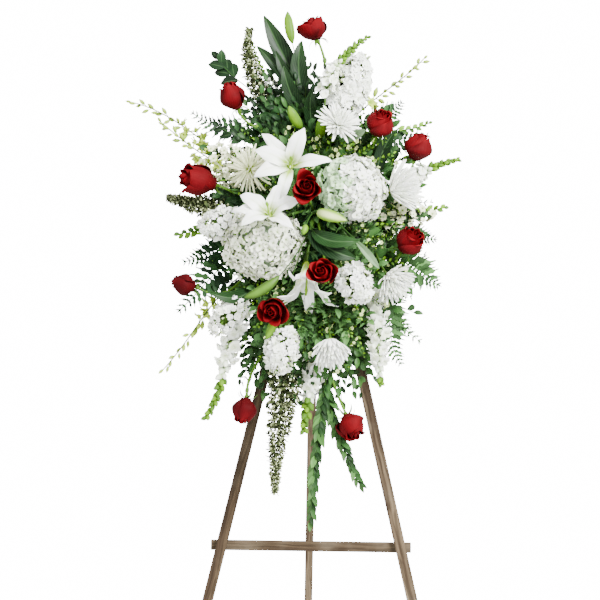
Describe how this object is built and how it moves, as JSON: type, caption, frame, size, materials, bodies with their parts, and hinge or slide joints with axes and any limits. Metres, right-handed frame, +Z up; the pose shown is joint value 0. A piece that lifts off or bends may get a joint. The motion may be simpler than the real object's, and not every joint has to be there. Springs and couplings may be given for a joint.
{
  "type": "standing funeral spray",
  "caption": "Upright spray of red roses, white lilies, hydrangeas and other blooms with long greens, in caged foam tied to a folding three-legged wooden easel.",
  "frame": {"origin": "on the floor, under the middle of the box round the whole piece", "axes": "+Z up; -Y to the front, which the flowers face; +X to the right as seen from the front"},
  "size_m": [0.7293, 0.7939, 1.657],
  "materials": {
    "oak_stain": "weathered brown stain, matt",
    "steel": "plain plated steel",
    "foam": "wet green floral foam",
    "cage": "moulded green plastic",
    "tie": "white coated wire band",
    "rose_red": "velvety deep red petals",
    "petal_white": "soft white petals",
    "spike_white": "soft white florets, green towards the tip",
    "orchid_lime": "waxy yellow-green buds",
    "plume_green": "dull grey-green leaflets",
    "leaf_green": "satin dark green leaves",
    "fern_green": "dull dark green fronds"
  },
  "bodies": {
    "frame": {"leg_left": "oak_stain", "leg_right": "oak_stain", "cross_bar": "oak_stain", "head_block": "oak_stain", "hinge_frame_leaf": "steel", "foam_block": "foam", "foam_cage": "cage", "tie_left": "tie", "tie_right": "tie", "rose_top": "rose_red", "rose_upper_left": "rose_red", "rose_upper_right": "rose_red", "rose_far_right": "rose_red", "rose_left": "rose_red", "rose_right": "rose_red", "rose_centre": "rose_red", "rose_low_centre": "rose_red", "rose_low_left": "rose_red", "rose_far_left": "rose_red", "rose_hanging_left": "rose_red", "rose_hanging_right": "rose_red", "lily_upper": "petal_white", "lily_middle": "petal_white", "lily_hanging": "petal_white", "hydrangea_right": "petal_white", "hydrangea_left": "petal_white", "stock_top": "petal_white", "stock_right": "petal_white", "stock_low": "petal_white", "stock_left": "petal_white", "stock_low_left": "petal_white", "mum_left": "petal_white", "mum_top": "petal_white", "mum_right": "petal_white", "mum_low_right": "petal_white", "mum_low": "petal_white", "snapdragon_upper_left": "spike_white", "snapdragon_upper_right": "spike_white", "snapdragon_right": "spike_white", "snapdragon_lower_left": "spike_white", "snapdragon_lower": "spike_white", "snapdragon_lower_right": "spike_white", "orchid_upper_left": "orchid_lime", "orchid_left": "orchid_lime", "orchid_upper_right": "orchid_lime", "orchid_lower_left": "orchid_lime", "plume_upper": "plume_green", "plume_left": "plume_green", "plume_lower": "plume_green", "greens_upper": "leaf_green", "greens_left": "leaf_green", "greens_right": "leaf_green", "greens_lower": "leaf_green", "greens_front": "leaf_green", "foliage_left": "fern_green", "foliage_right": "fern_green", "foliage_lower": "fern_green"},
    "rear_leg": {"rear_leg": "oak_stain", "hinge_leg_leaf": "steel"}
  },
  "joints": [
    {"name": "rear_leg_fold", "type": "hinge", "parent": "frame", "child": "rear_leg", "pos_m": [0.0455, -0.06997, 1.2323], "axis": [-1, 0, 0], "range_deg": [0, 29]}
  ]
}
